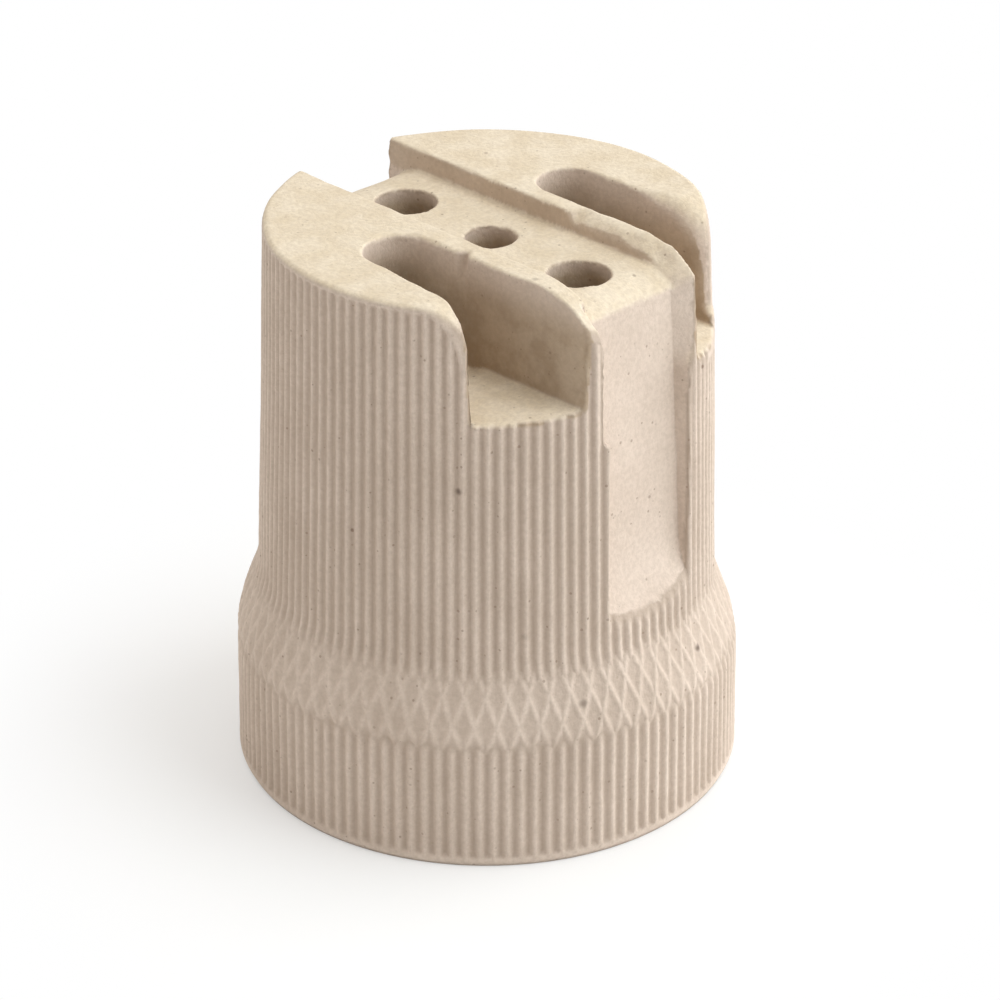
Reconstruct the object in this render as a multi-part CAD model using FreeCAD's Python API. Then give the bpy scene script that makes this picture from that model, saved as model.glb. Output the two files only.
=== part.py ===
import FreeCAD, Part
import math
import os

# Porcelain lamp holder for a lamp with the 27 mm screw cap, standing on its mouth
# with the wire end up. Millimetres, +Z up, origin at the centre of the mouth's rim.
# X runs along the groove across the crown, and both wire slots open towards +X.

V = FreeCAD.Vector
UP = V(0, 0, 1)
EXACT = 1e-6

# Outside of the body
HEIGHT = 48.0
BASE_R = 21.15
BELT_TOP = 11.2
LATTICE_TOP = 15.6
NECK_Z = 18.6
NECK_R = 19.0
TOP_R = 17.85
EDGE = 0.4
RIM_ROUND = 0.75
RIB_COUNT = 118
RIB_DEPTH = 0.28
RIB_FADE = 0.4
LATTICE_DEPTH = 0.22
LATTICE_ROWS = 3

# Crown: groove, side recesses, wire slots and holes
GROOVE_W = 9.7
GROOVE_DEPTH = 1.8
GROOVE_BEND_X = 14.2
GROOVE_BEND_R = 5.1
GROOVE_FALL = 40.0
RECESS_WALL = 1.15
RECESS_SLOPE = 1.75
RECESS_LENGTH = 28.0
RECESS_SHOULDER = 12.8
RECESS_STEP = 0.35
RECESS_TURN = 2.6
RECESS_SAG = 0.2
SLOT_W = 5.7
SLOT_DEPTH = 9.6
SLOT_END_X = -3.6
SLOT_SPLAY = 0.9
SLOT_SPLAY_RUN = 10.3
SLOT_WALL = 1.65
SLOT_CORNER = 2.0
SLOT_FOOT_R = 0.35
LOBE_ROUND_X = 3.5
LOBE_ROUND_Z = 5.6
FIN_ROUND_X = 6.5
FIN_ROUND_Z = 4.6
MOUNT_SPACING = 19.6
MOUNT_HOLE = 5.0
MOUNT_SINK = 8.0
MOUNT_SINK_DEPTH = 3.5
PILOT_HOLE = 4.2
PILOT_DEPTH = 5.0

# Inside of the body
MOUTH_STEP = 2.9
MOUTH_DEPTH = 10.4
MOUTH_CHAMFER = 0.6
CROWN_T = 14.0
BORE_GAP = 0.35
POCKET_DEPTH = 2.0

# Screw shell: thread sizes are inside diameters of the rolled sheet
THREAD_MINOR = 24.5
THREAD_HEIGHT = 1.1
THREAD_PITCH = 3.629
THREAD_ROOT = 0.3
THREAD_CREST = 0.3
SHEET = 0.4
SHELL_LIP = 1.3
SHELL_TURN_IN = 0.8
LUG_W = 7.0

# Centre contact
LEAF_W = 5.0
LEAF_T = 0.4
LEAF_BEND = 0.8
LEAF_LEG_Y = -6.2
CONTACT_DROP = 4.4
HINGE_DROP = 2.0
PAD_HALF = 1.7
CURL = 1.1
DOME_R = 1.6
DOME_H = 0.5

# Terminals, one in each wire slot
TERMINAL_X = 0.6
SLOT_FIT = 0.35
PLATE_T = 0.8
PLATE_IN = 3.6
PLATE_OUT = 4.0
PLATE_CORNER = 1.5
TAB_H = 2.0
TAB_W = 1.5
BUSH_R = 2.0
BUSH_FIT = 0.05
COLLAR_T = 0.6
FLARE_R = 2.4
FLARE_T = 0.4
SCREW_D = 3.0
SCREW_L = 7.0
SCREW_TIP = 0.6
THREAD_FIT = 0.05
HEAD_H = 2.0
HEAD_EDGE = 0.35
SLIT_W = 0.8
SLIT_DEPTH = 1.0
SLIT_TURN = 30.0
CLAMP_T = 0.8
CLAMP_EDGE = 0.2
CLAMP_GAP = 0.1
SPRING_T = 0.6
SPRING_WALL = 0.85
SPRING_SLIT = 0.5
TURN_GAP = 0.05

# Levels and places that follow from the sizes above
GROOVE_Z = HEIGHT - GROOVE_DEPTH
SLOT_Z = HEIGHT - SLOT_DEPTH
CEILING_Z = HEIGHT - CROWN_T
SLOT_IN_Y = GROOVE_W / 2 + SLOT_WALL
TERMINAL_Y = SLOT_IN_Y + SLOT_W / 2
TERMINAL_W = SLOT_W - 2 * SLOT_FIT
THREAD_MAJOR = THREAD_MINOR + 2 * THREAD_HEIGHT
BORE_R = THREAD_MAJOR / 2 + SHEET + BORE_GAP
MOUTH_R = BORE_R + MOUTH_STEP
SHELL_LIP_R = THREAD_MAJOR / 2 + SHEET + SHELL_LIP
POCKET_Z = CEILING_Z + POCKET_DEPTH
COLLAR_Z = SLOT_Z + PLATE_T
CLAMP_Z = COLLAR_Z + COLLAR_T + CLAMP_GAP
SPRING_Z = CLAMP_Z + CLAMP_T
HEAD_Z = SPRING_Z + SPRING_T + TURN_GAP
LEAF_Z = POCKET_Z - LEAF_T / 2
HINGE_Z = CEILING_Z - HINGE_DROP
PAD_Z = CEILING_Z - CONTACT_DROP
FAR = 3 * BASE_R


def side_radius(z):
    """Radius over the rib crests: straight belt, S-shaped flare, then a slight taper."""
    if z <= BELT_TOP:
        return BASE_R
    if z >= NECK_Z:
        share = (z - NECK_Z) / (HEIGHT - NECK_Z)
        return NECK_R + (TOP_R - NECK_R) * share
    t = (NECK_Z - z) / (NECK_Z - BELT_TOP)
    return NECK_R + (BASE_R - NECK_R) * t * t * (3 - 2 * t)


def at(radius, turn, z):
    angle = 2 * math.pi * turn / RIB_COUNT
    return V(radius * math.cos(angle), radius * math.sin(angle), z)


def smooth_ring(z, radius):
    return [at(radius, i, z) for i in range(RIB_COUNT)]


def ribbed_ring(z):
    """Crest, root, crest, root and so on, two points for each rib."""
    crest = side_radius(z)
    root = crest * (1 - RIB_DEPTH / NECK_R)
    return [at(crest if i % 2 == 0 else root, i / 2, z) for i in range(2 * RIB_COUNT)]


def lattice_ring(z, row):
    """Ridge crossings and sunken centres take turns, shifted by one rib on each row."""
    radius = side_radius(z)
    sunk = radius - LATTICE_DEPTH
    return [at(radius if (i + row) % 2 == 0 else sunk, i, z) for i in range(RIB_COUNT)]


def facet(*points):
    return Part.Face(Part.makePolygon(list(points) + [points[0]]))


def quads(low, high):
    n = len(low)
    return [facet(low[i], low[(i + 1) % n], high[(i + 1) % n], high[i]) for i in range(n)]


def lattice_band(low, high, row):
    """Triangles with their long edge on the ridges that cross from ring to ring."""
    faces = []
    for i in range(RIB_COUNT):
        j = (i + 1) % RIB_COUNT
        if (i + row) % 2 == 0:
            faces += [facet(low[i], low[j], high[j]), facet(low[i], high[j], high[i])]
        else:
            faces += [facet(low[i], low[j], high[i]), facet(low[j], high[j], high[i])]
    return faces


def run_out(ribs, ring):
    """Joins a ribbed ring to one with a single point for each rib."""
    faces = []
    for i in range(RIB_COUNT):
        j = (i + 1) % RIB_COUNT
        crest, root, after = ribs[2 * i], ribs[2 * i + 1], ribs[2 * j]
        faces += [facet(ring[i], crest, root), facet(ring[i], root, ring[j])]
        faces.append(facet(ring[j], root, after))
    return faces


def ribbed_blank():
    """The outside of the body as one closed skin, before anything is cut."""
    rim = side_radius(HEIGHT - RIM_ROUND) - RIM_ROUND
    foot = smooth_ring(0, BASE_R - EDGE)
    edge = smooth_ring(EDGE, BASE_R)
    belt_low = ribbed_ring(EDGE + 2 * RIB_FADE)
    belt_high = ribbed_ring(BELT_TOP - RIB_FADE)
    step = (LATTICE_TOP - BELT_TOP) / LATTICE_ROWS
    rows = [lattice_ring(BELT_TOP + k * step, k) for k in range(LATTICE_ROWS + 1)]
    start = LATTICE_TOP + RIB_FADE
    flare = [ribbed_ring(start + (NECK_Z - start) * k / 2) for k in range(3)]
    shoulder = ribbed_ring(HEIGHT - RIM_ROUND)
    top = smooth_ring(HEIGHT, rim)

    faces = [facet(*foot), facet(*top)]
    faces += quads(foot, edge)
    faces += run_out(belt_low, edge)
    faces += quads(belt_low, belt_high)
    faces += run_out(belt_high, rows[0])
    for k in range(LATTICE_ROWS):
        faces += lattice_band(rows[k], rows[k + 1], k)
    faces += run_out(flare[0], rows[-1])
    faces += quads(flare[0], flare[1]) + quads(flare[1], flare[2])
    faces += quads(flare[2], shoulder)
    faces += run_out(shoulder, top)
    shell = Part.makeShell(faces)
    shell.sewShape()
    return Part.makeSolid(shell)


def box(x0, x1, y0, y1, z0, z1):
    return Part.makeBox(x1 - x0, y1 - y0, z1 - z0, V(x0, y0, z0))


def rod(x, y, z0, z1, radius):
    return Part.makeCylinder(radius, z1 - z0, V(x, y, z0))


def turned(points):
    """A solid of revolution about Z from a closed outline of (radius, height)."""
    outline = [V(r, 0, z) for r, z in points]
    return Part.Face(Part.makePolygon(outline + outline[:1])).revolve(V(0, 0, 0), UP, 360)


def flipped(shape, axis):
    return shape.mirror(V(0, 0, 0), axis)


def across(shape):
    """The same shape on the other side of the groove."""
    return flipped(shape, V(0, 1, 0))


def both_sides(shape):
    return [shape, across(shape)]


def edges_at(shape, z):
    return [e for e in shape.Edges if all(abs(v.Z - z) < EXACT for v in e.Vertexes)]


def upright_edges(shape, x, y):
    return [e for e in shape.Edges
            if all(abs(v.X - x) + abs(v.Y - y) < EXACT for v in e.Vertexes)]


def cavity():
    """Wide mouth for the lamp's neck, then the bore that takes the screw shell."""
    mouth = turned([(0, 0), (MOUTH_R + MOUTH_CHAMFER, 0), (MOUTH_R, MOUTH_CHAMFER),
                    (MOUTH_R, MOUTH_DEPTH), (0, MOUTH_DEPTH)])
    bore = rod(0, 0, MOUTH_DEPTH, CEILING_Z, BORE_R)
    return mouth.fuse(bore)


def contact_pocket():
    """Hollow in the ceiling over the foot of the centre contact."""
    half = LEAF_W / 2 + SLOT_FIT
    outer = TERMINAL_Y + BUSH_R + SLOT_FIT + LEAF_T
    inner = LEAF_LEG_Y + LEAF_T / 2 + LEAF_BEND
    middle = TERMINAL_X
    return box(middle - half, middle + half, -outer, inner, CEILING_Z - EDGE, POCKET_Z)


def groove():
    """Across the crown, with a floor that bends down near both recesses."""
    half = GROOVE_W / 2
    drop = (FAR - GROOVE_BEND_X) * math.tan(math.radians(GROOVE_FALL))
    low, top = GROOVE_Z - drop, HEIGHT + EDGE
    side = [V(FAR, -half, top), V(FAR, -half, low), V(GROOVE_BEND_X, -half, GROOVE_Z)]
    other = [V(-p.x, p.y, p.z) for p in reversed(side)]
    outline = side + other + side[:1]
    cutter = Part.Face(Part.makePolygon(outline)).extrude(V(0, GROOVE_W, 0))
    bends = [e for e in edges_at(cutter, GROOVE_Z) if abs(e.Length - GROOVE_W) < EXACT]
    cutter = cutter.makeFillet(GROOVE_BEND_R, bends)
    corners = [e for e in cutter.Edges if runs_along_floor(e, half)]
    return cutter.makeFillet(EDGE, corners)


def runs_along_floor(edge, half):
    """True for the bottom edges of the groove along one of its walls."""
    ends = edge.Vertexes
    at_wall = all(abs(abs(v.Y) - half) < EXACT and v.Z < GROOVE_Z + EXACT for v in ends)
    return at_wall and abs(ends[0].Y - ends[-1].Y) < EXACT


def recess():
    """Flat for a strap down the +X side, running out at its foot on a hollow arc."""
    top = HEIGHT + EDGE
    foot = HEIGHT - RECESS_LENGTH
    floor = V(BORE_R + RECESS_WALL, 0, top)
    bend = floor + V(RECESS_SLOPE, 0, foot + RECESS_TURN - top)
    end = V(side_radius(foot) + EDGE, 0, foot)
    middle = (bend + end) / 2 - V(RECESS_SAG, 0, RECESS_SAG)
    corner = V(end.x, 0, top)
    outline = Part.Wire([Part.makeLine(floor, bend), Part.Arc(bend, middle, end).toShape(),
                         Part.makeLine(end, corner), Part.makeLine(corner, floor)])
    upper = box(0, FAR, -GROOVE_W, GROOVE_W, HEIGHT - RECESS_SHOULDER, top)
    wide = strap_flat(outline, GROOVE_W).common(upper)
    return wide.fuse(strap_flat(outline, GROOVE_W - 2 * RECESS_STEP))


def strap_flat(outline, width):
    cutter = Part.Face(outline).extrude(V(0, width, 0))
    cutter.translate(V(0, -width / 2, 0))
    return cutter


def slot():
    """Wire slot on the +Y side: round inner end, splayed outer wall, open towards +X."""
    y0, y1 = SLOT_IN_Y, SLOT_IN_Y + SLOT_W
    x0, x1 = SLOT_END_X, BASE_R
    mouth_y = y1 + SLOT_SPLAY * (x1 - TERMINAL_X) / SLOT_SPLAY_RUN
    plan = [V(x0, y0, SLOT_Z), V(x1, y0, SLOT_Z), V(x1, mouth_y, SLOT_Z),
            V(TERMINAL_X, y1, SLOT_Z), V(x0, y1, SLOT_Z)]
    cutter = Part.Face(Part.makePolygon(plan + plan[:1])).extrude(V(0, 0, SLOT_DEPTH + EDGE))
    cutter = cutter.makeFillet(SLOT_CORNER, upright_edges(cutter, x0, y0))
    cutter = cutter.makeFillet(SLOT_CORNER / 2, upright_edges(cutter, x0, y1))
    walls = [e for e in edges_at(cutter, SLOT_Z) if abs(e.Vertexes[0].X - e.Vertexes[-1].X) > SLOT_W]
    return cutter.makeFillet(SLOT_FOOT_R, walls)


def end_round(y0, y1, x_end, round_x, round_z):
    """What is taken off over a quarter ellipse where a wall of the crown ends."""
    x0, z0 = x_end - round_x, HEIGHT - round_z
    block = box(x0, FAR, y0, y1, z0, HEIGHT + EDGE)
    tube = Part.makeCylinder(1, y1 - y0 + 2 * EDGE, V(0, 0, 0), V(0, 1, 0))
    matrix = FreeCAD.Matrix()
    matrix.scale(round_x, 1, round_z)
    quarter = tube.transformGeometry(matrix)
    quarter.translate(V(x0, y0 - EDGE, z0))
    return block.cut(quarter)


def lobe_end_x():
    """Where the splayed wall of a wire slot reaches the rim of the crown."""
    slope = SLOT_SPLAY / SLOT_SPLAY_RUN
    start = SLOT_IN_Y + SLOT_W - slope * TERMINAL_X
    spread = 1 + slope ** 2
    return (math.sqrt(spread * TOP_R ** 2 - start ** 2) - slope * start) / spread


def crown_rounds():
    """Rounded near ends of the two lobes and of the fins beside the groove."""
    fin_x = math.sqrt(TOP_R ** 2 - (GROOVE_W / 2) ** 2)
    lobe = end_round(TERMINAL_Y, FAR, lobe_end_x(), LOBE_ROUND_X, LOBE_ROUND_Z)
    fin = end_round(0, TERMINAL_Y, fin_x, FIN_ROUND_X, FIN_ROUND_Z)
    return both_sides(lobe) + both_sides(fin)


def holes():
    cutters = []
    for side in (-1, 1):
        x = side * MOUNT_SPACING / 2
        cutters.append(rod(x, 0, CEILING_Z - EDGE, HEIGHT, MOUNT_HOLE / 2))
        cutters.append(rod(x, 0, CEILING_Z - EDGE, CEILING_Z + MOUNT_SINK_DEPTH, MOUNT_SINK / 2))
        y = side * TERMINAL_Y
        cutters.append(rod(TERMINAL_X, y, CEILING_Z - EDGE, SLOT_Z + EDGE, BUSH_R + BUSH_FIT))
    cutters.append(rod(0, 0, GROOVE_Z - PILOT_DEPTH, HEIGHT, PILOT_HOLE / 2))
    return cutters


def ceramic_body():
    body = ribbed_blank()
    body = body.cut([cavity(), contact_pocket()])
    body = body.cut([groove(), recess(), flipped(recess(), V(1, 0, 0))])
    body = body.cut(both_sides(slot()) + crown_rounds())
    return body.cut(holes())


def thread_wave():
    """Inside radius against height: flat roots and crests with straight flanks between.

    The thread ends below the pad of the centre contact, and the shell is plain above it.
    """
    turns = int((PAD_Z - LEAF_T / 2 - DOME_H - MOUTH_DEPTH) / THREAD_PITCH)
    major, minor = THREAD_MAJOR / 2, THREAD_MINOR / 2
    corners = ((THREAD_ROOT / 2, major), ((1 - THREAD_CREST) / 2, minor),
               ((1 + THREAD_CREST) / 2, minor), (1 - THREAD_ROOT / 2, major))
    points = [(major, MOUTH_DEPTH)]
    for k in range(turns):
        points += [(radius, MOUTH_DEPTH + (k + share) * THREAD_PITCH) for share, radius in corners]
    points.append((major, CEILING_Z - SHEET))
    return points


def screw_shell():
    """Rolled thread with its lower lip on the body's step and its top edge turned in."""
    inside = thread_wave()
    outside = [(r + SHEET, z) for r, z in inside]
    major = THREAD_MAJOR / 2
    lip = [(SHELL_LIP_R, MOUTH_DEPTH), (SHELL_LIP_R, MOUTH_DEPTH - SHEET),
           (major, MOUTH_DEPTH - SHEET)]
    turn_in = [(major - SHELL_TURN_IN, CEILING_Z - SHEET), (major - SHELL_TURN_IN, CEILING_Z),
               (major + SHEET, CEILING_Z)]
    shell = turned(inside + turn_in + outside[::-1] + lip)
    shell = shell.fuse(neutral_lug().common(rod(0, 0, 0, HEIGHT, major + SHEET / 2)))
    shell = shell.cut(rod(TERMINAL_X, TERMINAL_Y, 0, HEIGHT, BUSH_R + BUSH_FIT))
    return shell.removeSplitter()


def neutral_lug():
    """Tongue under the ceiling that the neutral bush is flared over."""
    x0, x1 = TERMINAL_X - LUG_W / 2, TERMINAL_X + LUG_W / 2
    y0 = TERMINAL_Y - FLARE_R - SHEET
    lug = box(x0, x1, y0, THREAD_MAJOR / 2, CEILING_Z - SHEET, CEILING_Z)
    return lug.makeFillet(LUG_W / 4, upright_edges(lug, x0, y0) + upright_edges(lug, x1, y0))


def bent_strip(points, bend, thickness):
    """Closed outline in the YZ plane of a strip that follows points with round bends."""
    def side(sign):
        pieces = []
        last = None
        for k, p in enumerate(points):
            before = (p - points[k - 1]).normalize() if k > 0 else None
            after = (points[k + 1] - p).normalize() if k + 1 < len(points) else None
            if before is None or after is None:
                way = after or before
                here = p + V(0, -way.z, way.y) * (sign * thickness / 2)
                if last:
                    pieces.append(Part.makeLine(last, here))
                last = here
                continue
            left = 1 if before.y * after.z - before.z * after.y > 0 else -1
            reach = bend * math.tan(before.getAngle(after) / 2)
            normal = V(0, -before.z, before.y)
            centre = p - before * reach + normal * (left * bend)
            radius = bend - left * sign * thickness / 2
            first = centre - normal * (left * radius)
            middle = centre + (p - centre).normalize() * radius
            second = centre - V(0, -after.z, after.y) * (left * radius)
            pieces += [Part.makeLine(last, first), Part.Arc(first, middle, second).toShape()]
            last = second
        return pieces, last

    upper, upper_end = side(1)
    lower, lower_end = side(-1)
    start = Part.makeLine(lower[0].Vertexes[0].Point, upper[0].Vertexes[0].Point)
    end = Part.makeLine(upper_end, lower_end)
    return Part.Wire(Part.__sortEdges__(upper + [end] + lower + [start]))


def centre_contact():
    """Leaf spring: foot in the pocket, leg down, arm to the axis and a domed pad."""
    foot_end = -(TERMINAL_Y + BUSH_R + LEAF_T)
    path = [V(0, foot_end, LEAF_Z), V(0, LEAF_LEG_Y, LEAF_Z), V(0, LEAF_LEG_Y, HINGE_Z),
            V(0, -PAD_HALF, PAD_Z), V(0, PAD_HALF, PAD_Z), V(0, PAD_HALF + CURL, PAD_Z + CURL)]
    leaf = Part.Face(bent_strip(path, LEAF_BEND, LEAF_T)).extrude(V(LEAF_W, 0, 0))
    leaf.translate(V(TERMINAL_X - LEAF_W / 2, 0, 0))
    ball_r = (DOME_R ** 2 + DOME_H ** 2) / (2 * DOME_H)
    under = PAD_Z - LEAF_T / 2
    ball = Part.makeSphere(ball_r, V(0, 0, under - DOME_H + ball_r))
    dome = ball.common(rod(0, 0, under - 2 * DOME_H, under + LEAF_T / 2, DOME_R))
    leaf = leaf.fuse(dome)
    return leaf.cut(rod(TERMINAL_X, -TERMINAL_Y, CEILING_Z, HEIGHT, BUSH_R + BUSH_FIT))


def terminal_plate():
    """Plate on the floor of the +Y slot, its inner end turned up as a wire stop."""
    x0, x1 = TERMINAL_X - PLATE_IN, TERMINAL_X + PLATE_OUT
    y0, y1 = TERMINAL_Y - TERMINAL_W / 2, TERMINAL_Y + TERMINAL_W / 2
    plate = box(x0, x1, y0, y1, SLOT_Z, SLOT_Z + PLATE_T)
    upright = [e for e in plate.Edges if abs(e.Length - PLATE_T) < EXACT]
    plate = plate.makeFillet(PLATE_CORNER, upright)
    tab = box(x0, x0 + PLATE_T, TERMINAL_Y - TAB_W / 2, TERMINAL_Y + TAB_W / 2,
              SLOT_Z, SLOT_Z + PLATE_T + TAB_H)
    plate = plate.fuse(tab).removeSplitter()
    return plate.cut(rod(TERMINAL_X, TERMINAL_Y, 0, HEIGHT, BUSH_R + BUSH_FIT))


def terminal_bush(held_z):
    """Tapped bush with its collar on the plate and its flare under held_z."""
    bore = SCREW_D / 2 + THREAD_FIT
    collar_r = TERMINAL_W / 2
    flare_z = held_z - FLARE_T
    rim_z = COLLAR_Z + COLLAR_T
    outline = [(bore, flare_z), (FLARE_R - FLARE_T / 2, flare_z), (FLARE_R, held_z - FLARE_T / 2),
               (FLARE_R, held_z), (BUSH_R, held_z), (BUSH_R, COLLAR_Z),
               (collar_r, COLLAR_Z), (collar_r, rim_z), (bore, rim_z)]
    bush = turned(outline)
    bush.translate(V(TERMINAL_X, TERMINAL_Y, 0))
    return bush


def clamp_washer():
    """Square wire clamp with its upper edges broken."""
    half = TERMINAL_W / 2
    top = CLAMP_Z + CLAMP_T
    washer = box(TERMINAL_X - half, TERMINAL_X + half, TERMINAL_Y - half, TERMINAL_Y + half,
                 CLAMP_Z, top)
    washer = washer.makeChamfer(CLAMP_EDGE, edges_at(washer, top))
    return washer.cut(rod(TERMINAL_X, TERMINAL_Y, 0, HEIGHT, SCREW_D / 2 + 2 * THREAD_FIT))


def spring_washer():
    inner = SCREW_D / 2 + 2 * THREAD_FIT
    ring = rod(TERMINAL_X, TERMINAL_Y, SPRING_Z, SPRING_Z + SPRING_T, inner + SPRING_WALL)
    ring = ring.cut(rod(TERMINAL_X, TERMINAL_Y, 0, HEIGHT, inner))
    gap = box(TERMINAL_X, FAR, TERMINAL_Y, TERMINAL_Y + SPRING_SLIT, SPRING_Z, HEIGHT)
    return ring.cut(gap)


def terminal_screw():
    """Cheese head with a straight slit, over a shank with a pointed end."""
    shank = SCREW_D / 2
    head_r = TERMINAL_W / 2
    end = HEAD_Z - SCREW_L
    top = HEAD_Z + HEAD_H
    outline = [(0, end), (shank - SCREW_TIP, end), (shank, end + SCREW_TIP), (shank, HEAD_Z),
               (head_r, HEAD_Z), (head_r, top - HEAD_EDGE), (head_r - HEAD_EDGE, top), (0, top)]
    screw = turned(outline)
    slit = box(-FAR, FAR, -SLIT_W / 2, SLIT_W / 2, top - SLIT_DEPTH, HEIGHT)
    slit.rotate(V(0, 0, 0), UP, SLIT_TURN)
    screw = screw.cut(slit)
    screw.translate(V(TERMINAL_X, TERMINAL_Y, 0))
    return screw


def build():
    """All the pieces by name. The live terminal is on the -Y side."""
    parts = {
        "ceramic_body": ceramic_body(),
        "screw_shell": screw_shell(),
        "centre_contact": centre_contact(),
        "terminal_bush_live": across(terminal_bush(POCKET_Z - LEAF_T)),
        "terminal_bush_neutral": terminal_bush(CEILING_Z - SHEET),
    }
    for name, make in (("terminal_plate", terminal_plate), ("clamp_washer", clamp_washer),
                       ("spring_washer", spring_washer), ("terminal_screw", terminal_screw)):
        parts[name + "_neutral"] = make()
        parts[name + "_live"] = across(make())
    return parts


os.makedirs("parts", exist_ok=True)
for name, shape in build().items():
    shape.exportStep(os.path.join("parts", name + ".step"))
    print(name, len(shape.Solids), "solid", round(shape.Volume, 1), "mm3", len(shape.Faces), "faces")
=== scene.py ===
"""Porcelain lamp holder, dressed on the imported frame. The formulas are in millimetres and the
meshes in metres."""
import math

import bmesh
import bpy
import numpy as np
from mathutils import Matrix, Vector


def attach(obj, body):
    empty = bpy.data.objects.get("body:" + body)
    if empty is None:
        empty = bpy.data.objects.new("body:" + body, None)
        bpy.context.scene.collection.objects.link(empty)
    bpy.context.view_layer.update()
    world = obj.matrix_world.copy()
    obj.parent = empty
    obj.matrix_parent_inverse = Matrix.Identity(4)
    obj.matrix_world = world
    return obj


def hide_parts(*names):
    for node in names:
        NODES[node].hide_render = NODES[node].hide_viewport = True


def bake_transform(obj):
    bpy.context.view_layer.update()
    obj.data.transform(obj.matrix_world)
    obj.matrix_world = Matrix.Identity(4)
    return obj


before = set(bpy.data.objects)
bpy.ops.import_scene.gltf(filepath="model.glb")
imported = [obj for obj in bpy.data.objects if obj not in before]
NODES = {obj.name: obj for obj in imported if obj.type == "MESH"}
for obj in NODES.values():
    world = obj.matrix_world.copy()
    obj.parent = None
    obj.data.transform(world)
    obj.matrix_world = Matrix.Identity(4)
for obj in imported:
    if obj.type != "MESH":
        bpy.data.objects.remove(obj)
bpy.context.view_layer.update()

MM = 0.001
TURN = 2 * np.pi

# Side of the body
HEIGHT = 48.0
FOOT_R = 21.13
BELT_TOP = 11.2
NECK_Z = 18.6
NECK_R = 18.97
TOP_R = 17.98
NECK_ASIDE = 0.09
FLARE_LOWER = 1.3
RIBS = 118
RIB_DEPTH = 0.25
BELT_RIBS_AHEAD = math.pi / 3
DIAMONDS = 73
DIAMOND_TALL = 4.6
DIAMOND_JOINT_Z = 15.1
DIAMOND_AHEAD = 0.14
RIDGE_HALF = 0.27
LATTICE_R = 20.2
LATTICE_GROUND = 0.4

# Heights between which ribs and lattice fade in or out, and widths of the plain bands
BELT_RIBS_OUT = (10.2, 11.6)
LATTICE_IN = (10.2, 11.4)
GROUND_IN = (10.6, 12.0)
LATTICE_OUT = (15.6, 17.4)
NECK_RIBS_IN = (15.4, 16.9)
FOOT_BAND = (0.6, 1.1)
RIM_BAND = (0.35, 0.8)

# Crown, its near side being -Y. The oval ends are (end in x, rounding in x, rounding in z)
GROOVE_NEAR = -4.45
GROOVE_BACK = 5.2
GROOVE_Z = 46.2
BEND_X = 12.34
BEND_R = 5.1
BEND_FALL = math.radians(40.0)
HOLES_X = 0.37
HOLES_Y = 0.12
MOUNT_APART = 19.6
MOUNT_HOLE_R = 2.5
PILOT_HOLE_R = 2.1
PILOT_FLOOR_Z = 41.2
FIN_FROM_Y = 4.3
LOBE_FROM_Y = 9.5
FIN_END = (17.7, 6.5, 5.0)
NEAR_LOBE_END = (11.9, 3.4, 5.5)
BACK_LOBE_END = (12.4, 4.9, 5.5)
WORN_Z = 47.25
PITS = ((15.3, 5.4, 46.6, 0.33), (9.4, -12.9, 47.4, 0.3), (-13.4, -12.0, 48.2, 0.4))

# Wire slots: y of the fin's wall, y of the lobe's wall, splay of the lobe's wall
NEAR_SLOT = (6.6, 12.4, 0.086)
BACK_SLOT = (6.85, 12.2, 0.03)
SLOT_Z = 38.4
SLOT_END_X = -3.3
SLOT_END_R = 2.2

# Side recesses
RECESS_X = 15.25
RECESS_LEAN = 1.75
RECESS_TALL = 25.8
RECESS_TOP_Z = 48.4
RECESS_FOOT_Z = 18.2
RUN_OUT_Z = 23.8
RUN_OUT_TALL = 5.0
RUN_OUT_DEEP = 1.8

# Inside of the body and its terminals, as in the CAD model
CEILING_Z = 34.0
BORE_R = 14.1
MOUTH_R = 17.0
MOUTH_Z = 10.4
TERMINAL_X = 0.6
TERMINAL_Y = 9.35
BUSH_R = 2.0
POCKET_HALF = 2.85
POCKET_Y = (-12.1, -5.2)
POCKET_DEEP = 2.0
NUT_R = 4.0
NUT_Z = 37.5

# Distance that stands for well inside or well outside of a form
FAR = 9.0

RINGS_AROUND = 4 * 177
BODY_TRIANGLES = 196000


def meet(a, b, r):
    """Distance to where both a and b hold: the larger one, with the edge rounded to radius r."""
    u = np.maximum(a + r, 0)
    v = np.maximum(b + r, 0)
    return np.minimum(np.maximum(a, b), -r) + np.sqrt(u * u + v * v)


def cut(body, hole, r):
    """The body without the hole, the rim of the hole rounded to radius r."""
    return meet(body, -hole, r)


def ramp(x, low, high):
    """0 below low, 1 above high, and the S-curve 3t^2 - 2t^3 between."""
    t = np.clip((x - low) / (high - low), 0, 1)
    return t * t * (3 - 2 * t)


def rod(x, y, cx, cy, r):
    """Distance to an upright round rod."""
    return np.hypot(x - cx, y - cy) - r


def uneven(x, y, z, wave, seed):
    """Soft hills and hollows from about -1 to 1: the mean of five sine waves in odd directions."""
    dice = np.random.default_rng(seed)
    total = 0
    for _ in range(5):
        way = dice.normal(size=3)
        way *= TURN / (wave * dice.uniform(0.7, 1.3) * np.linalg.norm(way))
        total = total + np.sin(way[0] * x + way[1] * y + way[2] * z + dice.uniform(0, TURN))
    return total / 3


def side_radius(z):
    """Slightly tapered belt and neck, joined by an S-shaped flare."""
    belt = FOOT_R - 0.016 * z
    neck = NECK_R + (TOP_R - NECK_R) * (z - NECK_Z) / (HEIGHT - NECK_Z)
    return belt + (neck - belt) * ramp(z, BELT_TOP, NECK_Z)


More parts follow.
